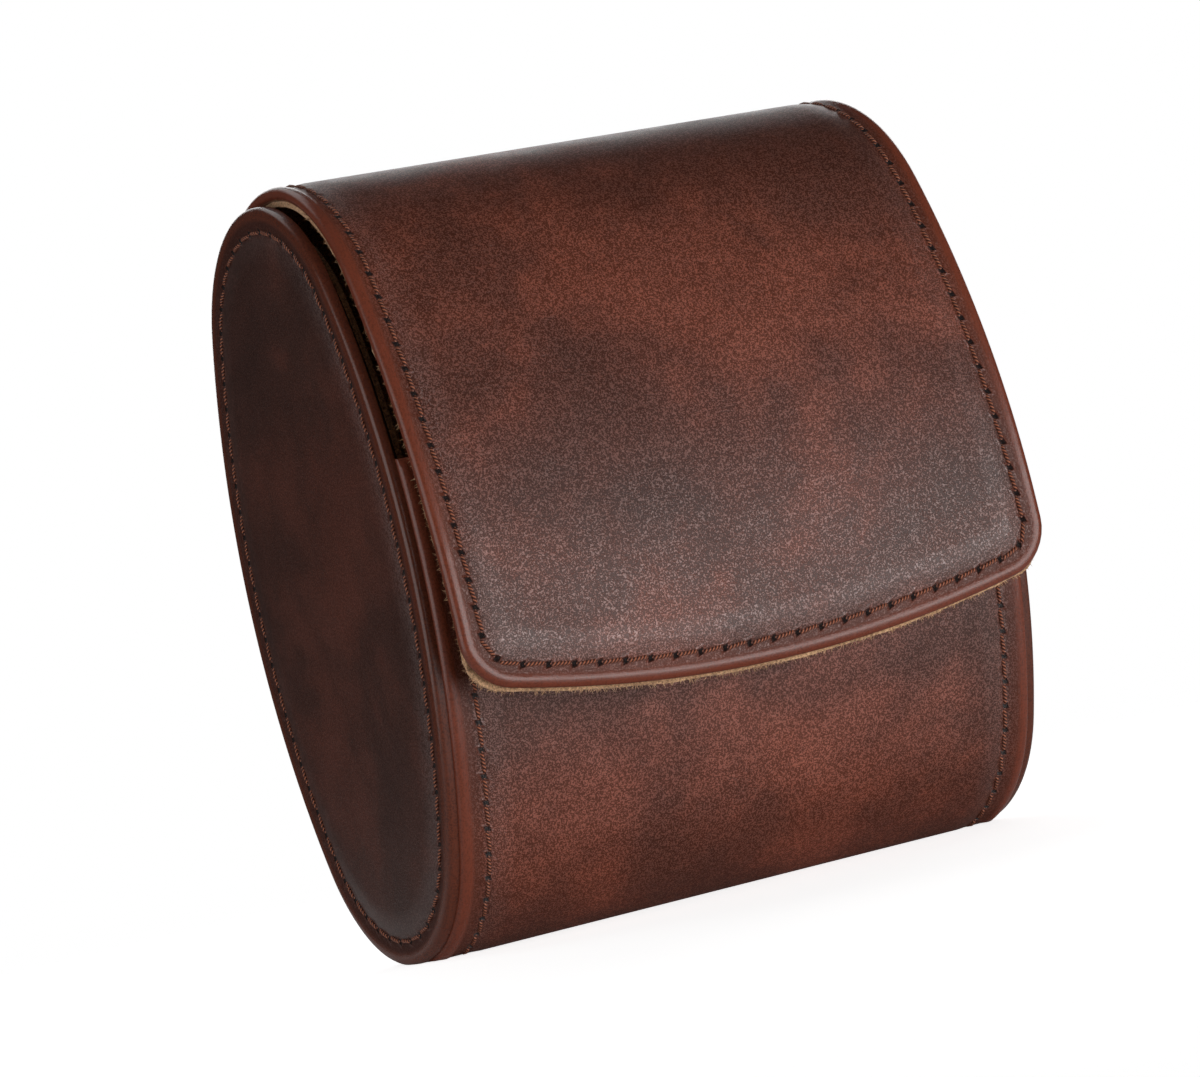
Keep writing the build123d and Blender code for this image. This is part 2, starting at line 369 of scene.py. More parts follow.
def mark(piece, row, outline, plan):
    """Writes what the leather's finish follows, in millimetres: the place on the flat piece, the
    distance from its edge, and the place beside the row of stitches. Returns the row's length."""
    data = piece.data
    spots = [plan(v.co) for v in data.vertices]
    along, beside, total = nearest(spots, row)
    _, inside, _ = nearest(spots, outline)
    held = data.attributes.new("flat", "FLOAT_VECTOR", "POINT")
    held.data.foreach_set("vector", [x for v in data.vertices for x in v.co])
    held = data.attributes.new("edge", "FLOAT", "POINT")
    held.data.foreach_set("value", inside)
    while data.uv_layers:
        data.uv_layers.remove(data.uv_layers[0])
    seam = data.uv_layers.new(name="seam")
    for face in data.polygons:
        first = along[data.loops[face.loop_start].vertex_index]
        for k in face.loop_indices:
            v = data.loops[k].vertex_index
            here = along[v]
            if here - first > total / 2:
                here -= total
            if first - here > total / 2:
                here += total
            seam.data[k].uv = (here / total, beside[v])
    return total


def part_off(piece, place, beyond):
    """Keeps the part of a flat piece before or beyond a line across it, and closes the cut."""
    take(piece)
    for near in (place - 0.2, place + 0.2):
        bpy.ops.mesh.select_all(action="SELECT")
        bpy.ops.mesh.bisect(plane_co=(near, 0, 0), plane_no=(1, 0, 0), threshold=0.001)
    bpy.ops.mesh.select_all(action="SELECT")
    bpy.ops.mesh.bisect(
        plane_co=(place, 0, 0), plane_no=(1, 0, 0), threshold=0.001,
        use_fill=True, clear_inner=beyond, clear_outer=not beyond,
    )
    done()


def seen_flat(p):
    """Place on the strip as cut, seen from its outer face."""
    return (p.x, p.z)


def seen_end(p):
    """Place on an end panel, seen along the tube."""
    return (p.y, p.z)


# Leather strip: one piece from the front lip, under the body, up the back, over the top and down
# the front. Its edge is rolled into a bead, and the leather dips to the row of stitches.
LEATHER_LEAD = 0.6
LEATHER_SET = 1.0
LIP_TURN = 1.75
near, far = SPARE - LEATHER_LEAD, LENGTH
half = ROW_HALF + MARGIN
beyond_row = ROW_HALF + 0.7
body_leather = blank("body_leather", near, far, half, CORNER, 1.5)
places = stations(body_leather)
bpy.ops.mesh.select_all(action="SELECT")
outline = face_outline(body_leather)
bpy.ops.mesh.extrude_region_move(TRANSFORM_OT_translate={"value": (0, -0.2, 0)})
bpy.ops.mesh.select_mode(type="FACE")
pick_faces(body_leather, lambda c, n: n.y < -0.9)
rings([(0.07, 0.28), (0.15, 0.22), (0.25, 0.16), (0.33, 0.09), (0.45, 0.0), (0.35, -0.12)])
rings([(0.3, -0.09), (0.45, -0.02), (0.25, -0.03), (0.3, -0.08)])
row = face_outline(body_leather)
rings([(0.3, 0.08), (0.45, 0.08), (0.7, 0.08), (0.7, 0.05)])
pick_faces(body_leather, lambda c, n: n.y > 0.9)
rings([(0.1, 0.35), (0.25, 0.3), (0.5, 0.15)])
bpy.ops.mesh.select_all(action="SELECT")
bpy.ops.transform.translate(value=(0, LEATHER_SET, 0))
last = places[-1]
cut(places[:-1] + end_lines(last, far), along=False)
cut([side * z for side in (1, -1) for z in (32.6, 29.5, 24, 16, 8)] + [0], along=True)
bpy.ops.mesh.select_mode(type="VERT")
widen(body_leather, places, last, beyond_row)
done()
for path in (row, outline):
    for p in path:
        if abs(p.z) > beyond_row:
            p.z += math.copysign(body_margin(p.x), p.z)
        p.z *= width_share(min(p.x, last))
row = [seen_flat(p) for p in row]
outline = [seen_flat(p) for p in outline]
row_length = mark(body_leather, row, outline, seen_flat)
flap_leather = copy(body_leather, "flap_leather")
part_off(body_leather, SEAM_AT, beyond=False)
part_off(flap_leather, SEAM_AT, beyond=True)
# The lip is turned over the board behind it
take(body_leather, "FACE")
pick_faces(body_leather, lambda c, n: n.y > 0.9 and c.x < SPARE + 2)
bpy.ops.mesh.extrude_region_move(TRANSFORM_OT_translate={"value": (0, LIP_TURN, 0)})
done()
wrap(body_leather)
wrap(flap_leather)

# Suede lining, flat under the leather, then further in where a board lies between. On the flap its
# cut edge just shows past the leather's bead.
SUEDE_TOP = LEATHER_SET + 0.9
SUEDE_DEEP = 0.65
SUEDE_LEAD = 0.3
SUEDE_PAST = 0.5
SUEDE_STEPS = 6
FLAP_BOARD_RUN = 39.5
FLAP_BOARD_RISE = 0.95
NAP = 0.14
near, far = SPARE - SUEDE_LEAD, LENGTH + SUEDE_PAST
suede_half = half - 0.65
body_suede = blank("body_suede", near, far, suede_half, CORNER - 1.8, 1.0)
places = stations(body_suede)
bpy.ops.mesh.select_all(action="SELECT")
suede_outline = [(p.x, p.z * width_share(min(p.x, far - 9))) for p in face_outline(body_suede)]
bpy.ops.mesh.extrude_region_move(TRANSFORM_OT_translate={"value": (0, -SUEDE_DEEP, 0)})
bpy.ops.mesh.select_mode(type="FACE")
for side in (1, -1):
    pick_faces(body_suede, lambda c, n: n.y * side > 0.9)
    rings([(0.15, 0.05), (4.0, 0.0)])
bpy.ops.mesh.select_all(action="SELECT")
bpy.ops.transform.translate(value=(0, SUEDE_TOP + SUEDE_DEEP, 0))
last = places[-1]
cut(places[:-1:2] + end_lines(last, far), along=False)
bpy.ops.mesh.select_mode(type="VERT")
scale_width(body_suede, places, last)
board_end = HINGE_AT + 0.2
pick(body_suede, lambda p: p.x < board_end)
bpy.ops.transform.translate(value=(0, BOARD, 0))
for step in range(1, SUEDE_STEPS):
    pick(body_suede, lambda p: board_end + step - 1 < p.x < board_end + step)
    bpy.ops.transform.translate(value=(0, BOARD * (1 - step / SUEDE_STEPS), 0))


def over_flap_board(p):
    """Whether a place on the suede is over the flap's board, and 2 mm inside the suede's edge."""
    bowed = p.x + BOW * (p.z / suede_half) ** 2
    return p.x > LENGTH - FLAP_BOARD_RUN and bowed < LENGTH - 2 and abs(p.z) < suede_half - 2


def on_cut_edge(p):
    """Whether a place on the suede is on its cut edge round the flap."""
    return p.x > HINGE_AT and (abs(p.z) > suede_half - 0.5 or p.x > far - BOW - 1)


pick(body_suede, over_flap_board)
bpy.ops.transform.translate(value=(0, FLAP_BOARD_RISE, 0))
pick(body_suede, on_cut_edge)
bpy.ops.transform.vertex_random(offset=NAP, seed=3)
done()
flap_suede = copy(body_suede, "flap_suede")
part_off(body_suede, SEAM_AT, beyond=False)
part_off(flap_suede, SEAM_AT, beyond=True)
wrap(body_suede)
wrap(flap_suede)

# End panel: one point turned round the body's oval, filled, and worked inward ring by ring
panel = add(bpy.ops.mesh.primitive_plane_add, size=2)
panel.name = "panel_skin_right"
take(panel)
pick(panel, lambda p: p.x < 0 or p.y < 0)
bpy.ops.mesh.delete(type="VERT")
lean = math.radians(-JOIN)
rim = SIDE - PANEL_INSET
bpy.ops.mesh.select_all(action="SELECT")
bpy.ops.transform.translate(
    value=(WALL_END - 1, rim * math.cos(lean) - SIDE_OUT - 1, rim * math.sin(lean))
)
for centre_y, centre_z, span, steps in (
    (-SIDE_OUT, 0, 2 * JOIN, 50),
    (0, TIP_UP, 180 - 2 * JOIN, 44),
    (SIDE_OUT, 0, 2 * JOIN, 50),
    (0, -TIP_UP, 180 - 2 * JOIN, 44),
):
    bpy.ops.mesh.spin(
        steps=steps, angle=math.radians(span), center=(WALL_END, centre_y, centre_z), axis=(-1, 0, 0)
    )
bpy.ops.mesh.select_all(action="SELECT")
bpy.ops.mesh.remove_doubles(threshold=0.01)
bpy.ops.mesh.select_all(action="SELECT")
bpy.ops.mesh.edge_face_add()
bpy.ops.mesh.select_mode(type="FACE")
mesh = bmesh.from_edit_mesh(panel.data)
mesh.faces.ensure_lookup_table()
if mesh.faces[0].normal.x < 0:
    bpy.ops.mesh.flip_normals()
end_outline = [seen_end(p) for p in face_outline(panel)]
bpy.ops.mesh.extrude_region_move(TRANSFORM_OT_translate={"value": (0.75, 0, 0)})
pick_faces(panel, lambda c, n: n.x > 0.9)
rings([(0.06, 0.28), (0.16, 0.22), (0.28, 0.15), (0.4, 0.08), (0.5, 0.0), (0.5, -0.1)])
rings([(0.5, -0.14), (0.45, -0.06), (0.35, -0.1)])
end_row = [seen_end(p) for p in face_outline(panel)]
rings([(0.35, 0.1), (0.5, 0.14), (0.9, 0.1), (1.5, 0.06), (3.0, 0.03), (5.0, 0.02)])
done()
end_length = mark(panel, end_row, end_outline, seen_end)


def mirrored(piece, name):
    """The same piece for the other end, its faces turned outward again."""
    made = copy(piece, name)
    take(made)
    bpy.ops.mesh.select_all(action="SELECT")
    bpy.ops.transform.resize(value=(-1, 1, 1), center_override=(0, 0, 0))
    bpy.ops.mesh.flip_normals()
    done()
    return made


set_down(panel)
left_panel = mirrored(panel, "panel_skin_left")

# One stitch: a short twisted thread that dives into a hole at each end
THREAD_RADIUS = 0.24
THREAD_RUN = 3.3
stitch = add(bpy.ops.mesh.primitive_cylinder_add, vertices=8, radius=THREAD_RADIUS, depth=THREAD_RUN)
stitch.rotation_euler = (0, math.pi / 2, 0)
bpy.ops.object.transform_apply()
take(stitch)
for place in (-1.4, -1.0, 0, 1.0, 1.4):
    bpy.ops.mesh.select_all(action="SELECT")
    bpy.ops.mesh.bisect(plane_co=(place, 0, 0), plane_no=(1, 0, 0), threshold=0.001)
for place, height, share in ((0, 0.16, 1), (1.0, 0.06, 1), (1.4, -0.14, 0.95), (1.65, -0.5, 0.8)):
    pick(stitch, lambda p: abs(abs(p.x) - place) < 0.02)
    bpy.ops.transform.resize(value=(1, share, share), center_override=(0, 0, 0))
    bpy.ops.transform.translate(value=(0, 0, height))
done()

chance = random.Random(7)


def sides(path):
    """The sides of a closed path."""
    return zip(path, path[1:] + path[:1])


def on_path(path, distance):
    """Place and direction at a distance along a closed path."""
    for a, b in sides(path):
        run = math.dist(a, b)
        if distance <= run:
            share = distance / run
            spot = (a[0] + (b[0] - a[0]) * share, a[1] + (b[1] - a[1]) * share)
            return spot, math.atan2(b[1] - a[1], b[0] - a[0])
        distance -= run
    return path[0], 0


def joined(made, name):
    """One piece from many copies, each with its place in its mesh."""
    bpy.ops.object.select_all(action="DESELECT")
    for one in made:
        one.select_set(True)
    bpy.context.view_layer.objects.active = made[0]
    bpy.ops.object.transform_apply()
    bpy.ops.object.join()
    made[0].name = name
    return made[0]


def sew(name, path, length, lay, wanted):
    """A row of stitches, each a copy of the one stitch, laid on a closed path."""
    count = round(length / STITCH_PITCH)
    made = []
    for k in range(count):
        spot, turn = on_path(path, (k + 0.5) * length / count)
        if not wanted(spot):
            continue
        one = copy(stitch, name)
        slant = turn + STITCH_SLANT + chance.uniform(-0.05, 0.05)
        stretch = Matrix.Diagonal((length / count / STITCH_PITCH, 1, 1, 1))
        one.matrix_world = lay(spot, slant) @ stretch
        made.append(one)
    return joined(made, name)


def lay_flat(spot, turn):
    """On the strip's outer face, in the groove."""
    out = Matrix(((1, 0, 0, 0), (0, 0, -1, 0), (0, 1, 0, 0), (0, 0, 0, 1)))
    return Matrix.Translation((spot[0], GROOVE, spot[1])) @ out @ Matrix.Rotation(turn, 4, "Z")


def lay_end(spot, turn):
    """On the right panel's face, in the groove."""
    out = Matrix(((0, 0, 1, 0), (1, 0, 0, 0), (0, 1, 0, 0), (0, 0, 0, 1)))
    return Matrix.Translation((END_GROOVE, spot[0], spot[1])) @ out @ Matrix.Rotation(turn, 4, "Z")


# Bottom of the groove on the flat strip and on the right panel, and each stitch's lean in radians
GROOVE = LEATHER_SET - 0.61
END_GROOVE = 42.57
STITCH_SLANT = 0.09
body_stitches = sew("body_stitches", row, row_length, lay_flat, lambda p: p[0] < SEAM_AT)
flap_stitches = sew("flap_stitches", row, row_length, lay_flat, lambda p: p[0] >= SEAM_AT)
wrap(body_stitches)
wrap(flap_stitches)
panel_stitches = sew("panel_stitches_right", end_row, end_length, lay_end, lambda p: True)
set_down(panel_stitches)
left_stitches = mirrored(panel_stitches, "panel_stitches_left")
bpy.data.objects.remove(stitch)

# Loose fibres that stand out from the suede's cut edge, all round the flap
FIBRE_RADIUS = 0.075
FIBRE_TRIES = 2600
fibre = add(bpy.ops.mesh.primitive_cone_add, vertices=3, radius1=FIBRE_RADIUS, radius2=0, depth=1)
fibre.location = (0, 0, 0.5)
bpy.ops.object.transform_apply()
suede_length = sum(math.dist(a, b) for a, b in sides(suede_outline))
area = sum(a[0] * b[1] - b[0] * a[1] for a, b in sides(suede_outline))
OUTWARD = math.radians(-90 if area > 0 else 90)


def fray(name, first, last):
    """Fibres on the part of the suede's outline between two places along the strip, fewer of them
    towards the hinge line."""
    made = []
    for _ in range(FIBRE_TRIES):
        spot, turn = on_path(suede_outline, chance.uniform(0, suede_length))
        if not first <= spot[0] < last or (spot[0] < LENGTH - 40 and chance.random() < 0.45):
            continue
        one = copy(fibre, name)
        lean = turn + OUTWARD + chance.gauss(0, 0.55)
        aim = Vector((math.cos(lean), chance.gauss(0, 0.35), math.sin(lean))).to_track_quat("Z", "Y")
        long = chance.uniform(0.25, 0.75)
        deep = SUEDE_TOP + chance.uniform(0.05, SUEDE_DEEP)
        one.matrix_world = Matrix.LocRotScale((spot[0], deep, spot[1]), aim, (1, 1, long))
        made.append(one)
    piece = joined(made, name)
    wrap(piece)
    return piece


body_fibres = fray("body_suede_fibres", HINGE_AT, SEAM_AT)
flap_fibres = fray("flap_suede_fibres", SEAM_AT, LENGTH + 1)
bpy.data.objects.remove(fibre)
bpy.data.objects.remove(guide)

# Cushion, modelled ten times its size so that the cloth settles evenly, then swollen a little
TEN = 10.0
low = Vector(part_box("pillow_end_left")[0])
high = Vector(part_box("pillow_end_right")[1])
middle = (low + high) / 2
size = (high - low) * TEN
ALLOWANCE = 0.8 * MM * TEN
PILLOW_ROUND = 12.8 * MM * TEN
PILLOW_END_ROUND = 3.0 * MM * TEN
VOXEL = 4.0 * MM * TEN
CLOTH_STEPS = 20
cushion = add(bpy.ops.mesh.primitive_cube_add, size=1)
cushion.name = "pillow_cushion"
cushion.dimensions = [side - 2 * ALLOWANCE for side in size]
bpy.ops.object.transform_apply()
take(cushion, "EDGE")
pick_edges(cushion, lambda a, b: abs(a.x - b.x) > size.x / 2)
bpy.ops.mesh.bevel(offset=PILLOW_ROUND, segments=9)
pick_edges(cushion, lambda a, b: abs(a.x - b.x) < 0.001 and abs(a.x) > size.x / 2 - 2 * ALLOWANCE)
bpy.ops.mesh.bevel(offset=PILLOW_END_ROUND, segments=3)
done()
voxels = cushion.modifiers.new("remesh", "REMESH")
voxels.mode = "VOXEL"
voxels.voxel_size = VOXEL
only(cushion)
bpy.ops.object.modifier_apply(modifier="remesh")


def swell(piece, frames, most):
    """Blows a closed piece up as cloth, and caps how far a point may move."""
    before = [v.co.copy() for v in piece.data.vertices]
    cloth = piece.modifiers.new("cloth", "CLOTH")
    cloth.settings.use_pressure = True
    cloth.settings.uniform_pressure_force = 4.0
    cloth.settings.effector_weights.gravity = 0.0
    cloth.collision_settings.use_collision = False
    for step in range(1, frames + 1):
        bpy.context.scene.frame_set(step)
    shaped = piece.evaluated_get(bpy.context.evaluated_depsgraph_get())
    after = [v.co.copy() for v in shaped.data.vertices]
    piece.modifiers.remove(cloth)
    for point, start, end in zip(piece.data.vertices, before, after):
        travel = end - start
        if travel.length > most:
            travel = travel.normalized() * most
        point.co = start + travel
    bpy.context.scene.frame_set(1)


swell(cushion, CLOTH_STEPS, ALLOWANCE)
smooth = cushion.modifiers.new("smooth", "SUBSURF")
smooth.levels = smooth.render_levels = 1
only(cushion)
bpy.ops.object.modifier_apply(modifier="smooth")
cushion.matrix_world = Matrix.Translation(middle) @ Matrix.Scale(1 / TEN, 4)
bpy.ops.object.transform_apply()

# Piping round each end of the cushion: a round cord on the fabric's own outline, half sunk in it
PIPING_IN = 2.6 * MM
PIPING_RADIUS = 0.8 * MM
end = max(v.co.x for v in cushion.data.vertices) - PIPING_IN
piping = copy(cushion, "pillow_piping_right")
take(piping)
bpy.ops.mesh.select_all(action="SELECT")
bpy.ops.mesh.bisect(
    plane_co=(end, 0, 0), plane_no=(1, 0, 0), threshold=0.00001, clear_inner=True, clear_outer=True
)
done()
only(piping)
bpy.ops.object.convert(target="CURVE")
piping = bpy.context.object
piping.data.bevel_depth = PIPING_RADIUS
piping.data.bevel_resolution = 2
bpy.ops.object.convert(target="MESH")
piping = bpy.context.object
left_piping = mirrored(piping, "pillow_piping_left")


def colour(value):
    """Linear colour of an sRGB hex value."""
    parts = [int(value[i : i + 2], 16) / 255 for i in (1, 3, 5)]
    return (*[c / 12.92 if c <= 0.04045 else ((c + 0.055) / 1.055) ** 2.4 for c in parts], 1)


def node(tree, kind, inputs, out=None, **settings):
    """Adds a node with its settings and links, and returns what is read from it."""
    made = tree.nodes.new("ShaderNode" + kind)
    for key, value in settings.items():
        setattr(made, key, value)
    for key, value in inputs.items():
        if isinstance(value, bpy.types.NodeSocket):
            tree.links.new(value, made.inputs[key])
        else:
            made.inputs[key].default_value = value
    return made.outputs[out] if out else [s for s in made.outputs if s.enabled][0]


def material(name, **fixed):
    """New material, with the values that are the same all over its surface."""
    made = bpy.data.materials.new(name)
    made.use_nodes = True
    shader = made.node_tree.nodes["Principled BSDF"]
    for key, value in fixed.items():
        shader.inputs[key.replace("_", " ")].default_value = value
    return made, made.node_tree, shader


def pull_up_leather(name, dark, mid, warm, rim, row_length, ridges, gloss):
    """Waxed cowhide, pressed smooth: cloudy where the wax has moved, with curly hair-cell ridges painted
    lighter, partly rubbed wear and partly a painted highlight on their tops, a polished bead at the edge and
    needle holes along the stitches painted near black as painted shade. Places are read in millimetres."""
    made, tree, shader = material(name, IOR=1.5)
    flat = node(tree, "Attribute", {}, out="Vector", attribute_name="flat")
    edge = node(tree, "Attribute", {}, out="Fac", attribute_name="edge")
    seam = node(tree, "UVMap", {}, uv_map="seam")
    # Wax clouds 30 mm wide with 8 mm patches in them
    wax = {"Vector": flat, "Detail": 3.0, "Roughness": 0.6}
    cloud = node(tree, "TexNoise", {**wax, "Scale": 1 / 30, "Distortion": 0.4})
    patch = node(tree, "TexNoise", {**wax, "Scale": 1 / 8})
    tone = node(tree, "Math", {0: patch, 1: 0.4, 2: cloud}, operation="MULTIPLY_ADD")
    share = node(tree, "MapRange", {"Value": tone, "From Min": 0.5, "From Max": 0.82})
    base = node(tree, "Mix", {"Factor": share, "A": colour(dark), "B": colour(mid)}, data_type="RGBA")
    share = node(tree, "MapRange", {"Value": tone, "From Min": 0.70, "From Max": 0.95})
    base = node(tree, "Mix", {"Factor": share, "A": base, "B": colour(warm)}, data_type="RGBA")
    # Curly hair-cell ridges grown from 0.18 mm cells, painted lighter than the dips between them: partly
    # rubbed wear, partly a painted highlight on the ridge tops
    curl = node(tree, "TexNoise", {"Vector": flat, "Scale": 1 / 0.18, "Detail": 0.0, "Distortion": 0.8})
    ridge = node(tree, "MapRange", {"Value": curl, "From Min": 0.49, "From Max": 0.62, "To Max": ridges})
    fine = node(tree, "TexNoise", {"Vector": flat, "Scale": 1 / 0.25, "Detail": 2.0})
    rubbed_and_painted_highlight = node(tree, "Math", {0: ridge, 1: 1.3, 2: 1 - 0.26 * ridges}, operation="MULTIPLY_ADD")
    margin = node(tree, "MapRange", {"Value": edge, "From Min": 2.7, "From Max": 3.5, "To Min": 0.72})
    rubbed_and_painted_highlight = node(tree, "Math", {0: rubbed_and_painted_highlight, 1: margin}, operation="MULTIPLY")
    # Painted highlight, in part: the ridges lighten the base colour
    base = node(tree, "VectorMath", {0: base, "Scale": rubbed_and_painted_highlight}, operation="SCALE")
    # Bead: redder, smooth and polished, with the flat beside it between the two
    beside = node(tree, "MapRange", {"Value": edge, "From Min": 3.4, "From Max": 2.2, "To Max": 0.35})
    base = node(tree, "Mix", {"Factor": beside, "A": base, "B": colour(warm)}, data_type="RGBA")
    worn = node(tree, "MapRange", {"Value": fine, "From Min": 0.38, "From Max": 0.55, "To Min": 0.3})
    bead = node(tree, "MapRange", {"Value": edge, "From Min": 1.9, "From Max": 1.3})
    share = node(tree, "Math", {0: bead, 1: worn}, operation="MULTIPLY")
    base = node(tree, "Mix", {"Factor": share, "A": base, "B": colour(rim)}, data_type="RGBA")
    # Needle holes: slanted slots, 0.9 by 1.2 mm, one between every two stitches, painted near black as
    # painted shade inside them, with a lip drawn up round them
    count = round(row_length / STITCH_PITCH)
    split = node(tree, "SeparateXYZ", {"Vector": seam}, out="X")
    phase = node(tree, "Math", {0: split, 1: float(count), 2: 0.5}, operation="MULTIPLY_ADD")
    phase = node(tree, "Math", {0: phase}, operation="FRACT")
    phase = node(tree, "Math", {0: phase, 1: 0.5}, operation="SUBTRACT")
    run = node(tree, "Math", {0: phase, 1: row_length / count}, operation="MULTIPLY")
    spot = node(tree, "CombineXYZ", {"X": run, "Y": split.node.outputs["Y"]})
    wobble = node(tree, "VectorMath", {0: fine.node.outputs["Color"], "Scale": 0.25}, operation="SCALE")
    spot = node(tree, "VectorMath", {0: spot, 1: wobble}, operation="ADD")
    spot = node(tree, "Mapping", {"Vector": spot, "Location": (-0.12, -0.12, 0), "Rotation": (0, 0, 0.6)})
    spot = node(tree, "VectorMath", {0: spot, 1: (1 / 0.44, 1 / 0.58, 0)}, operation="MULTIPLY")
    spot = node(tree, "VectorMath", {0: spot}, operation="ABSOLUTE")
    away = node(tree, "VectorMath", {0: spot, 1: (1, 1, 0)}, out="Value", operation="DOT_PRODUCT")
    hole_with_painted_shade = node(tree, "MapRange", {"Value": away, "From Min": 1.3, "From Max": 0.7})
    lip = node(tree, "MapRange", {"Value": away, "From Min": 2.2, "From Max": 1.2})
    share = node(tree, "Math", {0: lip, 1: 0.4}, operation="MULTIPLY")
    base = node(tree, "Mix", {"Factor": share, "A": base, "B": colour(rim)}, data_type="RGBA")
    # Painted shade: each hole is painted near black for the shade inside it
    base = node(tree, "Mix", {"Factor": hole_with_painted_shade, "A": base, "B": colour("#160806")}, data_type="RGBA")
    tree.links.new(base, shader.inputs["Base Color"])
    # Waxed parts shine a little more, the bead most, and so does the band that the presser foot
    # has ironed just inside the stitches
    ends = {"From Min": 0.3, "From Max": 0.7, "To Min": 0.36, "To Max": 0.46}
    rough = node(tree, "MapRange", {"Value": patch, **ends})
    rough = node(tree, "Math", {0: bead, 1: -0.16, 2: rough}, operation="MULTIPLY_ADD")
    press = node(tree, "MapRange", {"Value": edge, "From Min": 7.5, "From Max": 4.5})
    inside = node(tree, "MapRange", {"Value": edge, "From Min": 3.0, "From Max": 3.8})
    press = node(tree, "Math", {0: press, 1: inside}, operation="MULTIPLY")
    rough = node(tree, "Math", {0: press, 1: -0.05, 2: rough}, operation="MULTIPLY_ADD")
    rough = node(tree, "Math", {0: hole_with_painted_shade, 1: 0.6, 2: rough}, operation="MULTIPLY_ADD")
    tree.links.new(rough, shader.inputs["Roughness"])
    shine = node(tree, "Math", {0: rubbed_and_painted_highlight, 1: gloss}, operation="MULTIPLY")
    ironed = node(tree, "Math", {0: press, 1: 0.9, 2: 1.0}, operation="MULTIPLY_ADD")
    shine = node(tree, "Math", {0: shine, 1: ironed}, operation="MULTIPLY")
    shine = node(tree, "Mix", {"Factor": bead, "A": shine, "B": 0.5})
    tree.links.new(shine, shader.inputs["Specular IOR Level"])
    # Relief in millimetres: grain off the bead, soft waves, the swell inside the row, and the holes
    grain = node(tree, "Math", {0: fine, 1: 0.8, 2: ridge}, operation="MULTIPLY_ADD")
    calm = node(tree, "MapRange", {"Value": bead, "To Min": 0.028, "To Max": 0.004})
    relief = node(tree, "Math", {0: grain, 1: calm}, operation="MULTIPLY")
    wave = node(tree, "TexNoise", {"Vector": flat, "Scale": 1 / 7, "Detail": 2.0})
    relief = node(tree, "Math", {0: wave, 1: 0.09, 2: relief}, operation="MULTIPLY_ADD")
    ends = {"From Min": 2.9, "From Max": 7.0, "To Max": 0.3}
    plump = node(tree, "MapRange", {"Value": edge, **ends}, interpolation_type="SMOOTHSTEP")
    relief = node(tree, "Math", {0: plump, 1: relief}, operation="ADD")
    relief = node(tree, "Math", {0: lip, 1: 0.08, 2: relief}, operation="MULTIPLY_ADD")
    relief = node(tree, "Math", {0: hole_with_painted_shade, 1: -0.4, 2: relief}, operation="MULTIPLY_ADD")
    bump = node(tree, "Bump", {"Height": relief, "Distance": MM, "Strength": 1.0})
    tree.links.new(bump, shader.inputs["Normal"])
    return made


# The strip is lighter and redder; the end panels are a darker copy with flatter grain, darker in part as
# painted shade on the ends
strip_leather = pull_up_leather(
    "waxed_pull_up_cowhide", "#4a261b", "#613021", "#763c2a", "#7a3c2a", row_length, 1.0, 0.5
)
# Painted shade, in part: a darker copy of the same leather for the ends
end_leather_painted_shade = pull_up_leather(
    "waxed_cowhide_end_panel_painted_shade", "#351a12", "#442218", "#54291d", "#63301f", end_length, 0.6, 0.45
)

# Split-leather suede: a khaki nap of 0.3 mm fibres, brushed lighter and darker in 10 mm patches,
# so that it looks dry and soft with no highlight
suede, tree, shader = material("khaki_split_suede", Roughness=0.95, Sheen_Weight=0.15, Sheen_Roughness=0.5)
place = node(tree, "TexCoord", {}, out="Object")
nap = node(tree, "TexNoise", {"Vector": place, "Scale": 1 / (0.3 * MM), "Detail": 4.0, "Roughness": 0.7})
brushed = node(tree, "TexNoise", {"Vector": place, "Scale": 1 / (10 * MM), "Detail": 3.0})
tone = node(tree, "Math", {0: brushed, 1: 0.25, 2: nap}, operation="MULTIPLY_ADD")
share = node(tree, "MapRange", {"Value": tone, "From Min": 0.43, "From Max": 0.80})
base = node(tree, "Mix", {"Factor": share, "A": colour("#74492f"), "B": colour("#ffcf9f")}, data_type="RGBA")
tree.links.new(base, shader.inputs["Base Color"])
bump = node(tree, "Bump", {"Height": nap, "Distance": 0.25 * MM, "Strength": 1.0})
tree.links.new(bump, shader.inputs["Normal"])

# Waxed linen thread: two plies laid 0.5 mm apart, painted bright on top and dark between as painted
# highlight and shade of the twist, with a dull shine
thread, tree, shader = material("waxed_linen_thread", Roughness=0.5)
place = node(tree, "UVMap", {}, uv_map="UVMap")
split = node(tree, "SeparateXYZ", {"Vector": place}, out="X")
turns = node(tree, "Math", {0: split, 1: 2.0}, operation="MULTIPLY")
turns = node(tree, "Math", {0: split.node.outputs["Y"], 1: 13.0, 2: turns}, operation="MULTIPLY_ADD")
turns = node(tree, "Math", {0: turns, 1: 2 * math.pi}, operation="MULTIPLY")
ply_relief_and_painted_shade = node(tree, "Math", {0: turns}, operation="SINE")
# Painted highlight and shade: the ply tops lighter, the grooves between them darker
share = node(tree, "MapRange", {"Value": ply_relief_and_painted_shade, "From Min": -0.5, "From Max": 1.0})
base = node(tree, "Mix", {"Factor": share, "A": colour("#43190e"), "B": colour("#b87052")}, data_type="RGBA")
tree.links.new(base, shader.inputs["Base Color"])
bump = node(tree, "Bump", {"Height": ply_relief_and_painted_shade, "Distance": 0.06 * MM, "Strength": 1.0})
tree.links.new(bump, shader.inputs["Normal"])

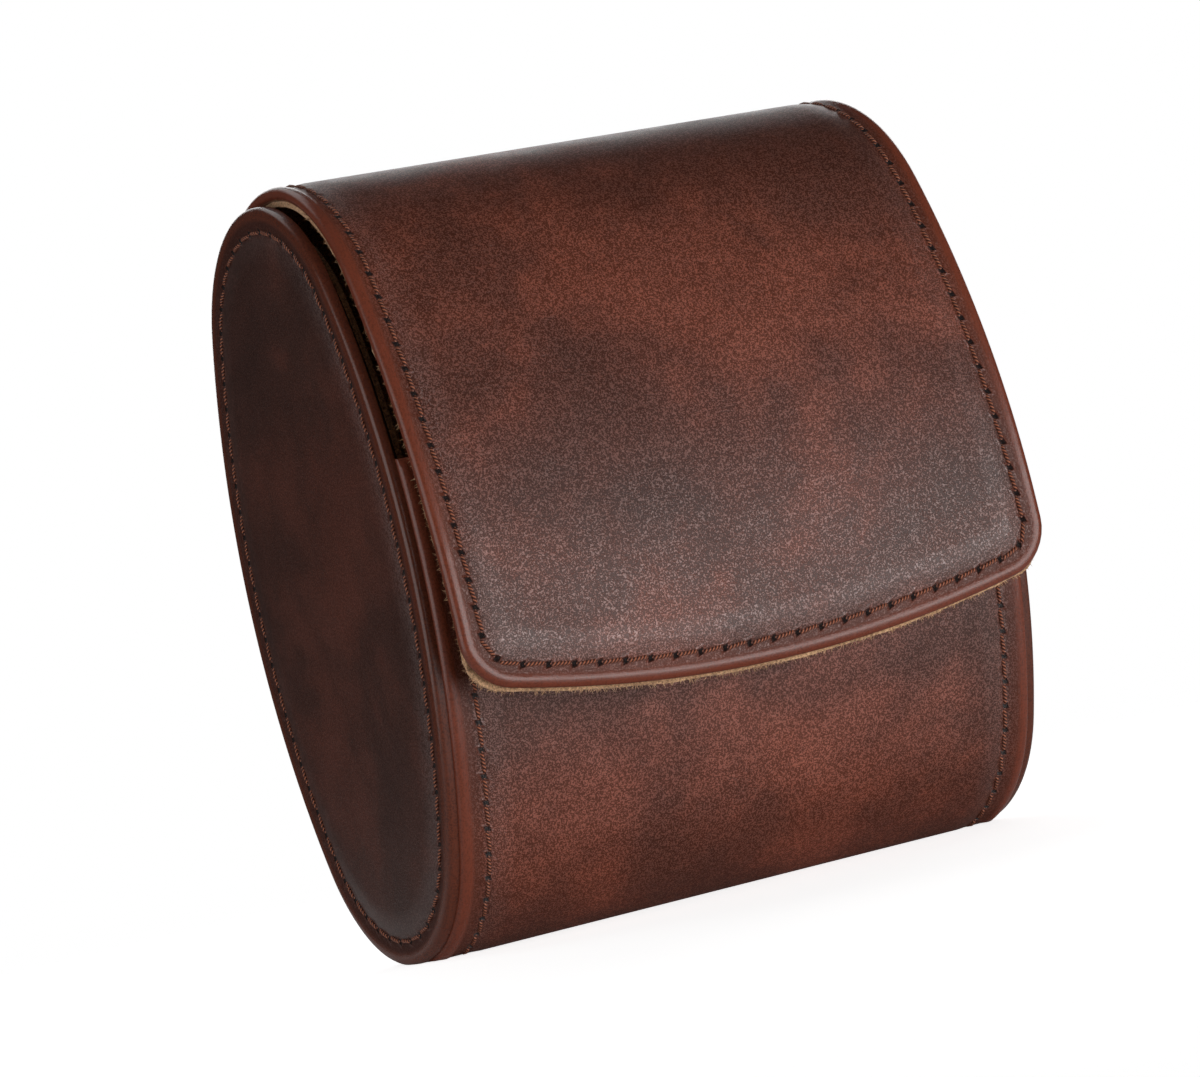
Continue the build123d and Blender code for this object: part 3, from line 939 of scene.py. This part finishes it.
# Pressed leather-fibre board, dyed dark in the vat: matt, with short fibres 2 mm long in it
board, tree, shader = material("dyed_fibre_board", Roughness=0.85)
place = node(tree, "TexCoord", {}, out="Object")
place = node(tree, "Mapping", {"Vector": place, "Scale": (1 / (2 * MM), 1 / (0.3 * MM), 1 / (0.3 * MM))})
fibrous = {"Scale": 1.0, "Detail": 4.0, "Roughness": 0.7, "Distortion": 0.8}
strand = node(tree, "TexNoise", {"Vector": place, **fibrous})
share = node(tree, "MapRange", {"Value": strand, "From Min": 0.35, "From Max": 0.7})
base = node(tree, "Mix", {"Factor": share, "A": colour("#241812"), "B": colour("#4a372b")}, data_type="RGBA")
tree.links.new(base, shader.inputs["Base Color"])
bump = node(tree, "Bump", {"Height": strand, "Distance": 0.1 * MM, "Strength": 1.0})
tree.links.new(bump, shader.inputs["Normal"])


def plated_disc(name, light, dark, rough, scratch):
    """Plated steel: a grey metal with turning marks whose spacing is given in millimetres."""
    made, tree, shader = material(name, Metallic=1.0)
    place = node(tree, "TexCoord", {}, out="Object")
    mark = node(tree, "TexNoise", {"Vector": place, "Scale": 1 / (scratch * MM), "Detail": 4.0})
    share = node(tree, "MapRange", {"Value": mark, "From Min": 0.35, "From Max": 0.65})
    base = node(tree, "Mix", {"Factor": share, "A": colour(dark), "B": colour(light)}, data_type="RGBA")
    tree.links.new(base, shader.inputs["Base Color"])
    ends = {"From Min": 0.3, "From Max": 0.7, "To Min": rough, "To Max": rough + 0.15}
    worn = node(tree, "MapRange", {"Value": mark, **ends})
    tree.links.new(worn, shader.inputs["Roughness"])
    return made


# Zinc-plated keeper, dull and slightly blue; nickel-plated magnet, brighter and warmer
keeper_zinc = plated_disc("zinc_plated_steel", "#b9bdc2", "#8f949b", 0.4, 0.6)
magnet_nickel = plated_disc("nickel_plated_magnet", "#cfcac0", "#b3ada2", 0.22, 0.4)

new_pieces = {
    strip_leather: (body_leather, flap_leather),
    end_leather_painted_shade: (panel, left_panel),
    suede: (body_suede, flap_suede, body_fibres, flap_fibres, cushion, piping, left_piping),
    thread: (body_stitches, flap_stitches, panel_stitches, left_stitches),
}
for finish, pieces in new_pieces.items():
    for piece in pieces:
        piece.data.materials.clear()
        piece.data.materials.append(finish)
        only(piece)
        bpy.ops.object.shade_smooth_by_angle(angle=math.radians(50))
kept_nodes = {
    board: ("wrap_core", "panel_core_left", "panel_core_right", "flap_stiffener"),
    suede: ("panel_lining_left", "panel_lining_right"),
    keeper_zinc: ("closure_keeper",),
    magnet_nickel: ("closure_magnet",),
}
for finish, names in kept_nodes.items():
    for name in names:
        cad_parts[name].material_slots[0].material = finish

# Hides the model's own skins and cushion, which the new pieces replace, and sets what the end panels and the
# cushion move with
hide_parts("wrap_leather", "flap_top_leather")
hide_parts("flap_front_leather")
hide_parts("wrap_lining", "flap_top_lining")
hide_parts("flap_front_lining")
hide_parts("panel_leather_right")
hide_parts("panel_leather_left")
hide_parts("pillow_foam", "pillow_cover", "pillow_end_left", "pillow_end_right")
for piece in (body_leather, body_suede, body_stitches, body_fibres):
    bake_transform(piece)
for piece in (flap_leather, flap_suede, flap_stitches, flap_fibres):
    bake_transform(piece)
for piece in (panel, left_panel, panel_stitches, left_stitches):
    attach(piece, "case")
for piece in (cushion, piping, left_piping):
    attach(piece, "pillow")

# Pale paper floor: white to the eye apart from the shadow on it, and faded out 0.3 m from the case
floor = add(bpy.ops.mesh.primitive_plane_add, size=3)
floor.name = "floor"
# The front light reaches the case from below the floor's level too
floor.visible_shadow = False
paper, tree, shader = material("white_paper", Base_Color=(0.85, 0.85, 0.85, 1), Roughness=0.9)
rays = node(tree, "LightPath", {}, out="Is Camera Ray")
glow = node(tree, "Math", {0: rays, 1: 0.8}, operation="MULTIPLY")
glow = node(tree, "Emission", {"Color": (1, 1, 1, 1), "Strength": glow})
lit = node(tree, "AddShader", {0: shader.outputs[0], 1: glow})
place = node(tree, "TexCoord", {}, out="Object")
out = node(tree, "VectorMath", {0: place}, out="Value", operation="LENGTH")
ends = {"From Min": 0.12, "From Max": 0.3, "To Min": 1.0, "To Max": 0.0}
share = node(tree, "MapRange", {"Value": out, **ends})
clear = node(tree, "BsdfTransparent", {})
faded = node(tree, "MixShader", {0: share, 1: clear, 2: lit})
tree.links.new(faded, tree.nodes["Material Output"].inputs["Surface"])
floor.data.materials.append(paper)

# Faint light from all round, seen as white behind the case
world = bpy.data.worlds.new("studio")
bpy.context.scene.world = world
world.use_nodes = True
tree = world.node_tree
rays = node(tree, "LightPath", {}, out="Is Camera Ray")
level = node(tree, "Mix", {"Factor": rays, "A": (0.04, 0.04, 0.04, 1), "B": (1, 1, 1, 1)}, data_type="RGBA")
tree.links.new(level, tree.nodes["Background"].inputs["Color"])


CASE_MIDDLE = Vector((0, 0, 0.05))


def softbox(name, place, wide, high, brightness):
    """Softbox aimed at the case. Its brightness is against white paper in full light."""
    lamp = bpy.data.lights.new(name, "AREA")
    lamp.shape = "RECTANGLE"
    lamp.size = wide
    lamp.size_y = high
    lamp.energy = brightness * math.pi * wide * high
    made = bpy.data.objects.new(name, lamp)
    bpy.context.scene.collection.objects.link(made)
    made.location = place
    made.rotation_euler = (CASE_MIDDLE - Vector(place)).to_track_quat("-Z", "Y").to_euler()
    made.visible_camera = False


# A large one in front that reaches below the floor's level, whose glow lies across the lower flap,
# a dimmer one at the left, and two behind and above, which draw a pale line along the top
softbox("front", (0.43, -0.9, -0.09), 0.85, 0.75, 4.1)
softbox("left", (-1.06, -0.28, 0.15), 1.2, 1.0, 1.5)
softbox("back", (0.54, 0.86, 0.42), 1.2, 0.5, 2.2)
softbox("top", (-0.18, 0.65, 0.92), 0.9, 0.5, 1.1)

# Camera, rolled so that the case leans to the right. Its lens is given against the frame's width.
LENS_TO_FRAME = 4168.6 / 1200
camera = bpy.data.cameras.new("camera")
camera.lens = LENS_TO_FRAME * camera.sensor_width
camera.clip_start = 0.01
eye = bpy.data.objects.new("camera", camera)
bpy.context.scene.collection.objects.link(eye)
right = Vector((0.88223, -0.41631, -0.21991))
down = Vector((-0.18378, 0.12553, -0.97492))
ahead = right.cross(down).normalized()
turned = Matrix((right, -down, -ahead)).transposed().to_4x4()
eye.matrix_world = Matrix.Translation((-0.24073, -0.48960, 0.02936)) @ turned
bpy.context.scene.camera = eye
bpy.context.scene.view_settings.view_transform = "Standard"
